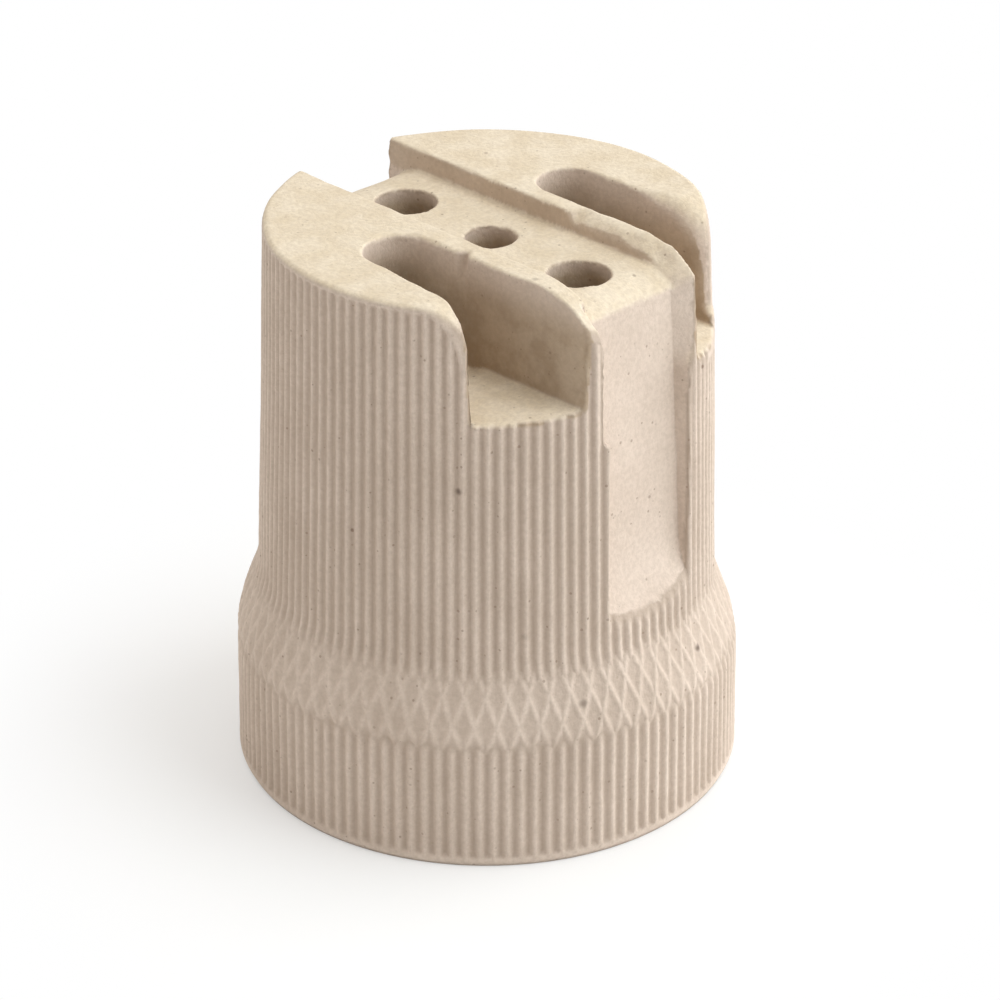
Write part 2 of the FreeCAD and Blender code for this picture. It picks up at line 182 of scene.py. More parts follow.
def past_side(x, y, z):
    """Distance out of the smooth side. In the crown its axis lies a little towards +X and +Y, and
    round the +X, +Y corner its flare starts a little lower."""
    aside = NECK_ASIDE * ramp(z, NECK_Z, SLOT_Z)
    lower = FLARE_LOWER * ramp(x + y, 8.0, 26.0)
    return np.hypot(x - aside, y - aside) - side_radius(z + lower)


def lattice_ridge(angle, z):
    """1 on two crossing families of helices and a bell curve of the distance across beside them."""
    turn = DIAMONDS * angle / TURN + DIAMOND_AHEAD
    rise = (z - DIAMOND_JOINT_Z) / DIAMOND_TALL
    wide = TURN * LATTICE_R / DIAMONDS
    across = wide * DIAMOND_TALL / math.hypot(wide, DIAMOND_TALL)
    out = 0
    for phase in (turn + rise, turn - rise):
        off = (phase - np.round(phase)) * across
        out = np.maximum(out, np.exp(-(off / RIDGE_HALF) ** 2))
    return out


def relief(x, y, z, under):
    """Depth cut into the side: the rib depth, less the highest of rib wave, ridge and plain band.
    under is the distance from the rim, where a plain band stays at the level of the crests. The
    ground of the lattice lies a little higher than the roots of the ribs."""
    angle = np.arctan2(y, x)
    ribs = 0.5 - 0.5 * np.cos(RIBS * angle)
    belt_ribs = 0.5 + 0.5 * np.cos(RIBS * angle + BELT_RIBS_AHEAD)
    high = np.maximum(ribs * ramp(z, *NECK_RIBS_IN), belt_ribs * (1 - ramp(z, *BELT_RIBS_OUT)))
    ridge = LATTICE_GROUND * ramp(z, *GROUND_IN) + (1 - LATTICE_GROUND) * lattice_ridge(angle, z)
    high = np.maximum(high, ridge * ramp(z, *LATTICE_IN) * (1 - ramp(z, *LATTICE_OUT)))
    plain = np.maximum(1 - ramp(z, *FOOT_BAND), 1 - ramp(under, *RIM_BAND))
    return RIB_DEPTH * (1 - np.maximum(high, plain))


def oval(x, z, end_x, round_x, round_z):
    """Distance to a quarter ellipse that rounds the upper end of a wall of the crown."""
    qx = np.maximum(x - (end_x - round_x), 1e-6)
    qz = np.maximum(z - (HEIGHT - round_z), 1e-6)
    k0 = np.hypot(qx / round_x, qz / round_z)
    k1 = np.hypot(qx / round_x ** 2, qz / round_z ** 2)
    return k0 * (k0 - 1) / k1


def crown_top(x, y, z):
    """Top of the body: level, and rounded down at the +X ends of the lobes and fins. The ends grow
    a little wider below z 43.5 and stop just over the slots' floors."""
    ay = np.abs(y)
    over_floors = z > SLOT_Z + 0.8
    lobe = (ay > LOBE_FROM_Y) & over_floors
    fin = (ay > FIN_FROM_Y) & (ay < LOBE_FROM_Y) & over_floors
    blunt = 0.3 * np.maximum(43.5 - z, 0)
    near = np.where(lobe & (y < 0), oval(x - blunt, z, *NEAR_LOBE_END), -FAR)
    back = np.where(lobe & (y > 0), oval(x - blunt, z, *BACK_LOBE_END), -FAR)
    ends = np.where(fin, oval(x - blunt, z, *FIN_END), -FAR)
    return np.maximum(z - HEIGHT, np.maximum(np.maximum(near, back), ends))


def groove_floor(x):
    """Height of the groove's floor: level, then an arc into a straight fall near each recess."""
    past = np.maximum(np.abs(x) - BEND_X, 0)
    reach = BEND_R * math.sin(BEND_FALL)
    arc = np.minimum(past, reach)
    fall = np.maximum(past - reach, 0) * math.tan(BEND_FALL)
    return GROOVE_Z - BEND_R + np.sqrt(BEND_R ** 2 - arc ** 2) - fall


def groove(x, y, z):
    """Groove across the crown, between its near and its back wall."""
    walls = np.maximum(GROOVE_NEAR - y, y - GROOVE_BACK)
    return meet(walls, (groove_floor(x) - z) * 0.9, 0.35)


def recess(x, y, z):
    """Flat down the side for a strap. It leans outwards, runs out at its foot, steps in by half a
    rib under z 35.5 on the near side, and at +X its back wall slants, most of all above z 41."""
    ax = np.abs(x)
    run_out = RUN_OUT_DEEP * (np.maximum(RUN_OUT_Z - z, 0) / RUN_OUT_TALL) ** 2
    floor = RECESS_X + RECESS_LEAN * (RECESS_TOP_Z - z) / RECESS_TALL + run_out
    step = ramp(z, 35.35, 35.6)
    lower = 3.96 + 0.02 * np.maximum(35.4 - z, 0)
    upper = 4.43 + 0.6 * ramp(z, 43.6, 46.4) * (x > 0)
    near = -lower * (1 - step) - upper * step
    slant = 0.1 + (x > 0) * (0.04 + 0.27 * ramp(z, 21, 31) + 1.25 * ramp(z, 38.0, 41.2))
    back = (y - 4.95 - slant * np.maximum(ax - floor, 0)) / np.sqrt(1 + slant ** 2)
    out = meet(floor - ax, near - y, 0.25)
    return np.maximum(np.maximum(out, back), RECESS_FOOT_Z - z)


def slot(x, y, z):
    """Wire slot: half-round inner end, splayed outer wall, flared mouth and a floor that rises a
    little towards the fin past the terminal plate. It is open towards +X, and the near one has a
    notch in the upper edge of its fin."""
    ay = np.abs(y)
    near = y < 0
    fin_y = np.where(near, NEAR_SLOT[0], BACK_SLOT[0])
    lobe_y = np.where(near, NEAR_SLOT[1], BACK_SLOT[1])
    splay = np.where(near, NEAR_SLOT[2], BACK_SLOT[2])
    flare = np.where(near, np.maximum(x - 9.0, 0) / 8.0 * (0.3 + 0.45 * ramp(z, 39, 44)), 0)
    notch = np.where(near, 0.7 * np.exp(-((x - 3.9) / 0.5) ** 2) * ramp(z, 44.5, 47.6), 0)
    inner = fin_y - flare - notch - ay
    outer = ay - lobe_y - splay * np.maximum(x - TERMINAL_X, 0)
    upper = ramp(z, 43.0, 47.0)
    end = SLOT_END_X + 0.55 * upper - x
    bend = SLOT_END_R + 0.5 * upper
    plan = np.maximum(meet(inner, end, bend), meet(outer, end, bend))
    rise = 0.5 * np.clip((lobe_y - ay) / (lobe_y - fin_y), 0, 1) * ramp(x, 5.0, 7.0)
    return meet(plan, SLOT_Z + rise - z, 0.35)


def hollow(x, y, z):
    """Mouth, bore for the screw shell, pocket of the contact and the sinks seen from below."""
    r = np.hypot(x, y)
    mouth = meet(r - MOUTH_R - np.maximum(0.6 - z, 0) - 0.015 * (MOUTH_Z - z), z - MOUTH_Z, 0.3)
    bore = meet(r - BORE_R, z - CEILING_Z, 0.3)
    pocket = np.maximum(np.abs(x - TERMINAL_X) - POCKET_HALF, np.maximum(POCKET_Y[0] - y, y - POCKET_Y[1]))
    pocket = meet(pocket, z - CEILING_Z - POCKET_DEEP, 0.3)
    out = np.minimum(np.minimum(mouth, bore), pocket)
    for side in (-1, 1):
        sink = np.maximum(rod(x, y, side * MOUNT_APART / 2, 0, NUT_R), z - NUT_Z)
        bush = np.maximum(rod(x, y, TERMINAL_X, side * TERMINAL_Y, BUSH_R + 0.05), z - SLOT_Z - 0.5)
        out = np.minimum(out, np.minimum(sink, bush))
    return out


def worn_rim(x, y, z):
    """Worn edge of the back fin over the groove: a sloping plane that starts at x 3.6, dips once
    and sinks to the groove's floor towards the fin's end."""
    start = 1.7 * (1 - ramp(x, 2.7, 4.7))
    dip = 0.25 * np.exp(-((x - 4.8) / 0.9) ** 2)
    low = WORN_Z + (groove_floor(x) + 0.15 - WORN_Z) * ramp(x, 9.8, 14.4)
    return (z - low - start + dip - 0.9 * np.maximum(y - GROOVE_BACK, 0)) / 1.35


def porcelain(x, y, z):
    """Signed distance to the body, negative inside the clay. The ribbed side, the top and the foot
    meet in rounded edges, and groove, worn rim, recesses, slots, holes, pits and hollow are cut
    from them in turn. Soft hills move the skin by a few hundredths of a millimetre."""
    hills = uneven(x, y, z, 6.0, 3)
    ripple = uneven(x, y, z, 1.7, 8)
    top = crown_top(x, y, z)
    wire_way = slot(x, y, z)
    plain = np.where(y > 0, 0.4 * wire_way, 1.2 * wire_way + 1.1 * ramp(46.8 - z, 0, 5.5))
    fin_end = ramp(x, 12, 14) * (np.abs(y) < 9) * ramp(45.2 - z, 0, 2.0)
    under = np.minimum(0.8 * fin_end - top, np.where(np.abs(y) > 9, plain, FAR))
    side = past_side(x, y, z) + relief(x, y, z, under)
    body = meet(side, top, 0.5 + 0.1 * hills)
    body = meet(body, -z, 0.2)
    wear = 0.1 * ripple
    body = cut(body, groove(x, y, z), 0.28 + wear)
    body = np.where((y > 2) & (y < 9), meet(body, worn_rim(x, y, z) + 0.5 * wear, 0.3), body)
    body = cut(body, recess(x, y, z), 0.26 + wear)
    lobe_end = ramp(y, 10.0, 11.0) * ramp(x, 3.0, 10.5) * ramp(z, 38.4, 40.2)
    fin_top = (np.abs(y) < 9.5) * ramp(9.0 - x, 0, 6) * (y < 0)
    body = cut(body, wire_way, 0.26 + wear * (1 - lobe_end) + 1.5 * lobe_end + 0.2 * fin_top)
    for side_x in (-1, 1):
        hole = rod(x, y, HOLES_X + side_x * MOUNT_APART / 2, HOLES_Y, MOUNT_HOLE_R)
        body = cut(body, np.maximum(hole, CEILING_Z - z), 0.22 + wear)
    pilot = rod(x, y, HOLES_X, HOLES_Y, PILOT_HOLE_R)
    body = cut(body, np.maximum(pilot, PILOT_FLOOR_Z - z), 0.22 + wear)
    for cx, cy, cz, r in PITS:
        body = cut(body, np.sqrt((x - cx) ** 2 + (y - cy) ** 2 + (z - cz) ** 2) - r, 0.1)
    outer = ramp(z, 0.4, 1.4) * ramp(HEIGHT - 0.05 - z, 0, 0.2)
    body = body + outer * (0.02 * hills + 0.014 * ripple)
    return cut(body, hollow(x, y, z), 0.22)


def round_grid(levels, ring_radii):
    """Points of stacked discs. A square net is bent on to each disc, so that every ring of the
    square becomes a circle. ring_radii(share, z) is the radius of the ring at that share."""
    n = RINGS_AROUND // 4
    a = (2 * np.arange(n + 1) - n) / n
    u, v = np.meshgrid(a, a, indexing="ij")
    wide = np.abs(u) > np.abs(v)
    rho = np.where(wide, u, v)
    with np.errstate(divide="ignore", invalid="ignore"):
        angle = np.where(wide, np.pi / 4 * v / u, np.pi / 2 - np.pi / 4 * u / v)
    x = np.sign(rho) * np.cos(angle)
    y = np.sign(rho) * np.sin(angle)
    radii = np.stack([ring_radii(np.abs(rho), z) for z in levels], 2)
    net_x = (x[:, :, None] * radii).astype(np.float32)
    net_y = (y[:, :, None] * radii).astype(np.float32)
    return net_x, net_y, np.broadcast_to(levels.astype(np.float32), radii.shape)


def skin(grid, field):
    """Closed quads round the part of the grid where the field is negative: one point in each cell
    that the surface crosses, at the mean of the crossings on its edges, and one quad round each
    crossed edge."""
    f = field(*grid)
    inside = f < 0
    cells = np.array(f.shape) - 1
    step = np.array([cells[1] * cells[2], cells[2], 1])
    total = int(cells.prod())
    count = np.zeros(total)
    sums = [np.zeros(total) for _ in range(3)]
    quads = []
    for axis in range(3):
        low = [slice(None)] * 3
        high = [slice(None)] * 3
        low[axis] = slice(0, -1)
        high[axis] = slice(1, None)
        low = tuple(low)
        high = tuple(high)
        where = np.nonzero(inside[low] != inside[high])
        t = f[low][where] / (f[low][where] - f[high][where])
        points = [g[low][where] * (1 - t) + g[high][where] * t for g in grid]
        index = np.stack(where)
        one = (axis + 1) % 3
        two = (axis + 2) % 3
        ok = (index[one] > 0) & (index[two] > 0) & (index[one] < cells[one]) & (index[two] < cells[two])
        base = (index[:, ok] * step[:, None]).sum(0)
        corners = [base - a * step[one] - b * step[two] for a, b in ((0, 0), (1, 0), (1, 1), (0, 1))]
        for cell in corners:
            count += np.bincount(cell, minlength=total)
            for k in range(3):
                sums[k] += np.bincount(cell, weights=points[k][ok], minlength=total)
        faces = np.stack(corners, 1)
        entering = ~inside[low][where][ok]
        faces[entering] = faces[entering][:, ::-1]
        quads.append(faces)
    used = np.nonzero(count)[0]
    number = np.full(total, -1)
    number[used] = np.arange(len(used))
    return np.stack([s[used] / count[used] for s in sums], 1), number[np.concatenate(quads)]


def slope(field, p, h=0.02):
    """Gradient of the field at the points, by central differences."""
    out = np.empty_like(p)
    for k in range(3):
        a = p.copy()
        b = p.copy()
        a[:, k] += h
        b[:, k] -= h
        out[:, k] = (field(*a.T) - field(*b.T)) / (2 * h)
    return out


def settle(field, p, rounds, most):
    """Moves points on to the surface along the gradient, each step no longer than most. A point
    that ends further from the surface than it began goes back."""
    first = p
    for _ in range(rounds):
        g = slope(field, p)
        move = g * (field(*p.T) / np.maximum((g * g).sum(1), 0.3))[:, None]
        far = np.linalg.norm(move, axis=1)
        p = p - move * np.minimum(1, most / np.maximum(far, 1e-9))[:, None]
    worse = np.abs(field(*p.T)) > np.abs(field(*first.T))
    return np.where(worse[:, None], first, p)


def make_mesh(name, points, faces):
    """A mesh object at the origin, from points in millimetres and faces of one width."""
    mesh = bpy.data.meshes.new(name)
    faces = np.asarray(faces)
    width = faces.shape[1]
    mesh.vertices.add(len(points))
    mesh.vertices.foreach_set("co", (np.asarray(points) * MM).astype(np.float32).ravel())
    mesh.loops.add(faces.size)
    mesh.loops.foreach_set("vertex_index", faces.astype(np.int32).ravel())
    mesh.polygons.add(len(faces))
    mesh.polygons.foreach_set("loop_start", np.arange(0, faces.size, width, dtype=np.int32))
    mesh.polygons.foreach_set("use_smooth", np.full(len(faces), True))
    mesh.update(calc_edges=True)
    mesh.validate()
    obj = bpy.data.objects.new(name, mesh)
    bpy.context.scene.collection.objects.link(obj)
    return obj


def points_of(obj):
    """The mesh's points in millimetres, one row each."""
    co = np.empty(len(obj.data.vertices) * 3, np.float32)
    obj.data.vertices.foreach_get("co", co)
    return co.reshape(-1, 3).astype(float) / MM


def put_attribute(obj, name, values):
    """One number for each point, for the material to read."""
    layer = obj.data.attributes.new(name, "FLOAT", "POINT")
    layer.data.foreach_set("value", np.asarray(values, np.float32))


def bake_modifiers(obj):
    """Puts what the modifiers make in place of the mesh."""
    graph = bpy.context.evaluated_depsgraph_get()
    mesh = bpy.data.meshes.new_from_object(obj.evaluated_get(graph))
    obj.modifiers.clear()
    old = obj.data
    obj.data = mesh
    bpy.data.meshes.remove(old)
    mesh.name = obj.name


def thin_out(obj, most):
    """Merges the edges that matter least until the mesh has about most triangles."""
    tool = obj.modifiers.new("thin", "DECIMATE")
    tool.ratio = min(1, most / (2 * len(obj.data.polygons)))
    bake_modifiers(obj)


def spread(*pieces):
    """Levels from (start, end, spacing) stretches, each with even steps."""
    out = []
    for start, end, gap in pieces:
        n = max(1, int(round((end - start) / gap)))
        out += list(start + (end - start) * np.arange(n) / n)
    return np.array(out + [pieces[-1][1]])


def body_levels():
    """Close together where the shape changes with height, wide apart on straight ribs."""
    return spread((-0.2, 1.6, 0.25), (1.6, 9.6, 1.3), (9.6, 11.0, 0.3), (11.0, 17.4, 0.2),
                  (17.4, 19.0, 0.4), (19.0, 23.4, 0.3), (23.4, 33.4, 1.2), (33.4, 38.0, 0.4),
                  (38.0, 48.2, 0.25))


def body_marks(body, points, normals):
    """Attributes for painted shade and light on the clay: groove is 1 at the roots of ribs, for painted
    shade there, crown on faces that look up, for painted light from above, and shade on the walls of
    slots, holes and groove, deeper down more, for painted shade."""
    x, y, z = points.T
    sunk = -past_side(x, y, z)
    outside = (np.abs(normals[:, 2]) < 0.8) & (sunk < 0.5)
    # Painted shade: the deeper a point lies in the rib relief, the darker the clay is painted there.
    put_attribute(body, "groove", np.clip(sunk / RIB_DEPTH, 0, 1) * outside)
    up = ramp(normals[:, 2], 0.25, 0.8)
    # Painted light: faces that look up in the crown and on the slots' floors are painted lighter.
    put_attribute(body, "crown", up * ramp(z, 36.0, 38.0))
    # Painted shade: slot walls darker deeper down, hole walls darker still, groove walls at half strength.
    row = np.abs(np.hypot(x - HOLES_X, y - HOLES_Y) - MOUNT_APART / 2) < 9
    near_hole = row & (z < GROOVE_Z - 0.2) & (z > CEILING_Z) & (np.hypot(x, y) < 14) & (np.abs(y) < 3)
    in_slot = (slot(x, y, z) < 0.3) & (z > SLOT_Z - 0.2)
    on_wall = (groove(x, y, z) < 0.25) & (z > GROOVE_Z - 0.5) & (up < 0.5)
    shade = np.where(in_slot, 0.85 * ramp(HEIGHT - z, 0.1, 4.0) * (1 - up), 0)
    shade = np.where(near_hole, 1.25 * ramp(GROOVE_Z - z, 0, 2.0), shade)
    put_attribute(body, "shade", np.where(on_wall, 0.5, shade))


def build_body():
    """The body: its skin on the round grid, thinned, settled and shaded by the field's slope."""
    count = RINGS_AROUND // 4
    last = (count - 2) / count

    def radii(share, z):
        edge = side_radius(z)
        return np.where(share > last + 1e-9, edge + 0.26, share / last * (edge - 0.5))

    points, faces = skin(round_grid(body_levels(), radii), porcelain)
    body = make_mesh("porcelain_body", settle(porcelain, points, 2, 0.1), faces)
    thin_out(body, BODY_TRIANGLES)
    points = settle(porcelain, points_of(body), 2, 0.05)
    normals = slope(porcelain, points)
    normals /= np.maximum(np.linalg.norm(normals, axis=1), 1e-9)[:, None]
    body.data.vertices.foreach_set("co", (points * MM).astype(np.float32).ravel())
    body.data.update()
    body_marks(body, points, normals)
    body.data.normals_split_custom_set_from_vertices(normals.tolist())
    return body


def net(name, grid, sharp=40.0):
    """Closed mesh on a grid of points that wraps round in its second direction. Where the first
    direction starts or ends in one point, the copies of that point are merged. If its first and
    last rows are alike, the net is a closed ring in both directions."""
    rows, around = grid.shape[:2]
    i, j = np.meshgrid(np.arange(rows - 1), np.arange(around), indexing="ij")
    k = (j + 1) % around
    quads = np.stack([i * around + j, i * around + k, (i + 1) * around + k, (i + 1) * around + j], 2)
    obj = make_mesh(name, grid.reshape(-1, 3), quads.reshape(-1, 4))
    form = bmesh.new()
    form.from_mesh(obj.data)
    bmesh.ops.remove_doubles(form, verts=form.verts, dist=0.0005 * MM)
    bmesh.ops.dissolve_degenerate(form, edges=form.edges, dist=0.0002 * MM)
    bmesh.ops.recalc_face_normals(form, faces=form.faces)
    form.to_mesh(obj.data)
    form.free()
    obj.data.set_sharp_from_angle(angle=math.radians(sharp))
    return obj


def round_the_axis(r, z, cx=0.0, cy=0.0):
    """Points at radius r and height z all round an upright axis. r and z are arrays whose last
    direction is the turn, or columns."""
    turn = np.linspace(0, TURN, r.shape[1], endpoint=False)[None, :]
    return np.stack([cx + r * np.cos(turn), cy + r * np.sin(turn), z + 0 * r], 2)


def soft_line(corners, spacing):
    """Points along a polyline in a plane. Each corner is (a, b, radius) and turns on an arc of that
    radius, and straight stretches get a point at least every spacing."""
    p = np.array([c[:2] for c in corners], float)
    out = [p[0]]
    for k in range(1, len(p) - 1):
        before = p[k] - p[k - 1]
        after = p[k + 1] - p[k]
        before /= np.linalg.norm(before)
        after /= np.linalg.norm(after)
        bend = math.acos(float(np.clip(before @ after, -1, 1)))
        radius = corners[k][2]
        reach = radius * math.tan(bend / 2)
        left = 1 if before[0] * after[1] - before[1] * after[0] > 0 else -1
        centre = p[k] - before * reach + left * radius * np.array([-before[1], before[0]])
        steps = max(2, int(math.degrees(bend) / 12))
        for t in np.linspace(0, bend, steps + 1):
            c = math.cos(left * t)
            s = math.sin(left * t)
            arm = p[k] - before * reach - centre
            out.append(centre + np.array([c * arm[0] - s * arm[1], s * arm[0] + c * arm[1]]))
    out.append(p[-1])
    line = [out[0]]
    for a, b in zip(out[:-1], out[1:]):
        n = max(1, int(np.linalg.norm(b - a) / spacing))
        line += [a + (b - a) * t for t in np.linspace(0, 1, n + 1)[1:]]
    return np.array(line)


def line_normals(line):
    """Unit normals to the left of a line of points in a plane."""
    way = np.gradient(line, axis=0)
    way /= np.linalg.norm(way, axis=1)[:, None]
    return np.stack([-way[:, 1], way[:, 0]], 1)


# Screw shell
LIP_R = 15.05
SHELL_TOP_R = 12.55
SHELL_AROUND = 180
THREAD_PITCH = 3.629
THREAD_DEEP = 1.1
SHELL_R = 13.35
SHEET = 0.4
LUG_HALF = 3.5
LUG_END_Y = 6.55


def shell_wave(z, turn):
    """How far the rolled thread stands in: a rounded wave that climbs a pitch a turn and fades out
    at both ends."""
    fade = ramp(z, 10.5, 12.4) * (1 - ramp(z, 26.9, 29.0))
    phase = (z - MOUTH_Z) / THREAD_PITCH - turn / TURN
    wave = 0.5 - 0.5 * np.cos(TURN * phase)
    return THREAD_DEEP * fade * (wave + 0.12 * wave * (1 - wave))


def build_shell():
    """Rolled sheet carried round the axis: the middle line runs from the lip up the wall to the
    turned-in top, and half the sheet's thickness lies to each side of it."""
    half = SHEET / 2
    low = MOUTH_Z - half
    high = CEILING_Z - half
    middle = soft_line(((LIP_R - half, low, 0), (SHELL_R + half, low, 0.7), (SHELL_R + half, high, 0.6),
                        (SHELL_TOP_R + half, high, 0)), 0.24)
    turn = np.linspace(0, TURN, SHELL_AROUND, endpoint=False)
    inward = shell_wave(middle[:, 1:2], turn[None, :])
    step = 0.02
    rise = (shell_wave(middle[:, 1:2] + step, turn[None, :]) - inward) / step
    normal = line_normals(middle)
    on_wall = ramp(middle[:, 1], 10.8, 11.4)[:, None]
    out_r = np.broadcast_to(normal[:, :1], inward.shape)
    out_z = normal[:, 1:] - on_wall * rise * normal[:, :1]
    size = np.hypot(out_r, out_z)
    faces = []
    for sign in (1, -1):
        r = middle[:, :1] - inward + sign * half * out_r / size
        z = middle[:, 1:2] + sign * half * out_z / size
        faces.append((r, z))
    (ra, za), (rb, zb) = faces
    angles = np.linspace(np.pi / 2, -np.pi / 2, 7)[1:-1, None]
    noses = []
    for end, before, sign in ((-1, -2, 1), (0, 1, -1)):
        way = middle[end] - middle[before]
        way = way / np.linalg.norm(way)
        noses.append(middle[end] + half * (np.sin(angles) * normal[end] * sign + np.cos(angles) * way))
    top, lip = noses
    wide = np.ones((1, SHELL_AROUND))
    r = np.concatenate([ra, top[:, :1] * wide, rb[::-1], lip[:, :1] * wide, ra[:1]])
    z = np.concatenate([za, top[:, 1:] * wide, zb[::-1], lip[:, 1:] * wide, za[:1]])
    return net("screw_shell_sheet", round_the_axis(r, z))


def plate_with_hole(name, outline, hole, z0, z1, edge):
    """Flat plate round a hole: rings from the hole's rim to the outline and back, the outer edges
    broken by edge. outline and hole are points at the same turns, anticlockwise."""
    inward = hole - outline
    inward = inward / np.linalg.norm(inward, axis=1)[:, None] * edge
    rows = [(hole, z0), (outline + inward, z0), (outline, z0 + edge), (outline, z1 - edge),
            (outline + inward, z1), (hole, z1), (hole, z0)]
    grid = np.stack([np.column_stack([flat, np.full(len(flat), z)]) for flat, z in rows])
    return net(name, grid, 30.0)


def build_lug():
    """Tongue of the shell under the neutral bush: a rounded rectangle with the bush's hole."""
    turn = np.linspace(0, TURN, 96, endpoint=False)
    c = np.cos(turn)
    s = np.sin(turn)
    centre = np.array([TERMINAL_X, TERMINAL_Y])
    high = (SHELL_R - LUG_END_Y) / 2
    middle = np.array([TERMINAL_X, LUG_END_Y + high])
    box = (np.abs(c) ** 4 + np.abs(s) ** 4) ** -0.25
    outline = middle + np.stack([LUG_HALF * c * box, high * s * box], 1)
    hole = centre + (BUSH_R + 0.02) * np.stack([c, s], 1)
    return plate_with_hole("shell_lug", outline, hole, CEILING_Z - SHEET, CEILING_Z, 0.06)


def join(name, *parts):
    """One mesh object that holds several closed surfaces."""
    form = bmesh.new()
    for part in parts:
        form.from_mesh(part.data)
        bpy.data.objects.remove(part)
    mesh = bpy.data.meshes.new(name)
    form.to_mesh(mesh)
    form.free()
    mesh.set_sharp_from_angle(angle=math.radians(40))
    obj = bpy.data.objects.new(name, mesh)
    bpy.context.scene.collection.objects.link(obj)
    return obj


def carve(obj, tool):
    """Cuts the tool's volume out of the piece."""
    cutter = obj.modifiers.new("cut", "BOOLEAN")
    cutter.operation = "DIFFERENCE"
    cutter.solver = "EXACT"
    cutter.object = tool
    bake_modifiers(obj)
    bpy.data.objects.remove(tool)
    obj.data.set_sharp_from_angle(angle=math.radians(30))


def plain_rod(name, cx, cy, r, z0, z1):
    """Upright round rod, as a tool that cuts holes."""
    rows = np.array([(0, z0), (r, z0), (r, z1), (0, z1)])
    wide = np.ones((1, 64))
    return net(name, round_the_axis(rows[:, :1] * wide, rows[:, 1:] * wide, cx, cy))


# Centre contact
LEAF_HALF = 2.5
LEAF_T = 0.4
LEAF_Z = 35.8
LEAF_BEND_R = 0.8
FOOT_END_Y = -11.75
LEG_Y = -6.2
HINGE_Z = 32.0
PAD_Z = 29.6
PAD_HALF = 1.7
TIP_Y = 2.8
TIP_UP = 1.1
DOME_R = 1.6
DOME_H = 0.5


def dome(x, y):
    """Depth of the pressed dome under the pad: a cap of a sphere round the lamp axis."""
    ball = (DOME_R ** 2 + DOME_H ** 2) / (2 * DOME_H)
    off = np.minimum(np.hypot(x, y), DOME_R)
    return np.sqrt(ball ** 2 - off ** 2) - (ball - DOME_H)


def build_contact():
    """Strip with rounded edges carried along its bent path, with the dome pressed down in its pad
    and a hole for the live bush in its foot."""
    path = soft_line(((FOOT_END_Y, LEAF_Z, 0), (LEG_Y, LEAF_Z, LEAF_BEND_R), (LEG_Y, HINGE_Z, LEAF_BEND_R),
                      (-PAD_HALF, PAD_Z, LEAF_BEND_R), (PAD_HALF, PAD_Z, LEAF_BEND_R),
                      (TIP_Y, PAD_Z + TIP_UP, 0)), 0.15)
    normal = line_normals(path)
    half = LEAF_T / 2
    count = 33
    flat = np.linspace(-LEAF_HALF + half, LEAF_HALF - half, count)
    arc = np.linspace(0, np.pi, 7)[1:-1]
    across = np.concatenate([flat, flat[-1] + half * np.sin(arc), flat[::-1], flat[0] - half * np.sin(arc)])
    lift = np.concatenate([np.full(count, half), half * np.cos(arc), np.full(count, -half),
                           -half * np.cos(arc)])
    grid = np.stack([np.tile(TERMINAL_X + across, (len(path), 1)), path[:, :1] + normal[:, :1] * lift,
                     path[:, 1:] + normal[:, 1:] * lift], 2)
    grid[:, :, 2] -= np.where(grid[:, :, 2] < PAD_Z + 0.4, dome(grid[:, :, 0], grid[:, :, 1]), 0)
    ends = [np.repeat(grid[k].mean(0)[None, None], grid.shape[1], 1) for k in (0, -1)]
    leaf = net("contact_leaf_strip", np.concatenate([ends[0], grid, ends[1]]))
    carve(leaf, plain_rod("contact_hole", TERMINAL_X, -TERMINAL_Y, BUSH_R + 0.03, LEAF_Z - 1, LEAF_Z + 1))
    return leaf


# Terminal screws
HEAD_Z = 41.35
HEAD_R = 2.5
HEAD_TALL = 2.0
SLIT_HALF = 0.4
SLIT_DEEP = 1.0
SLIT_TURN = math.radians(30)
SCREW_END = 34.35
SCREW_R = 1.5
SCREW_PITCH = 0.5
SCREW_CUT = 0.27


def build_screw(name, side):
    """Cheese-head screw turned round its axis: pointed end, V thread that climbs a pitch a turn,
    head with a rounded rim, and a slit across it."""
    top = HEAD_Z + HEAD_TALL
    half_section = soft_line(((0, SCREW_END, 0), (0.9, SCREW_END, 0.1), (SCREW_R, SCREW_END + 0.6, 0.05),
                              (SCREW_R, HEAD_Z, 0.12), (HEAD_R, HEAD_Z, 0.15), (HEAD_R, top, 0.35),
                              (0, top, 0)), 0.055)
    r = half_section[:, :1]
    z = half_section[:, 1:]
    turn = np.linspace(0, TURN, 72, endpoint=False)[None, :]
    phase = z / SCREW_PITCH - turn / TURN
    deep = np.abs(2 * (phase - np.floor(phase)) - 1)
    cutting = ramp(z, SCREW_END + 0.1, SCREW_END + 0.7) * (1 - ramp(z, HEAD_Z - 0.9, HEAD_Z - 0.4))
    shank = (r > 0.8) & (r < SCREW_R + 0.01) & (z < HEAD_Z)
    r = r - np.where(shank, SCREW_CUT * deep * cutting, 0)
    screw = net(name, round_the_axis(r, z, TERMINAL_X, side * TERMINAL_Y), 45.0)
    c = math.cos(SLIT_TURN * side)
    s = math.sin(SLIT_TURN * side)
    corners = [(-4, -SLIT_HALF), (4, -SLIT_HALF), (4, SLIT_HALF), (-4, SLIT_HALF)]
    ring = np.array([(TERMINAL_X + c * a - s * b, side * TERMINAL_Y + s * a + c * b) for a, b in corners])
    centre = np.broadcast_to(ring.mean(0), ring.shape)
    floor = top - SLIT_DEEP
    rows = [(centre, floor), (ring, floor), (ring, top + 1), (centre, top + 1)]
    tool = net(name + "_slit", np.stack([np.column_stack([p, np.full(4, h)]) for p, h in rows]))
    carve(screw, tool)
    return screw


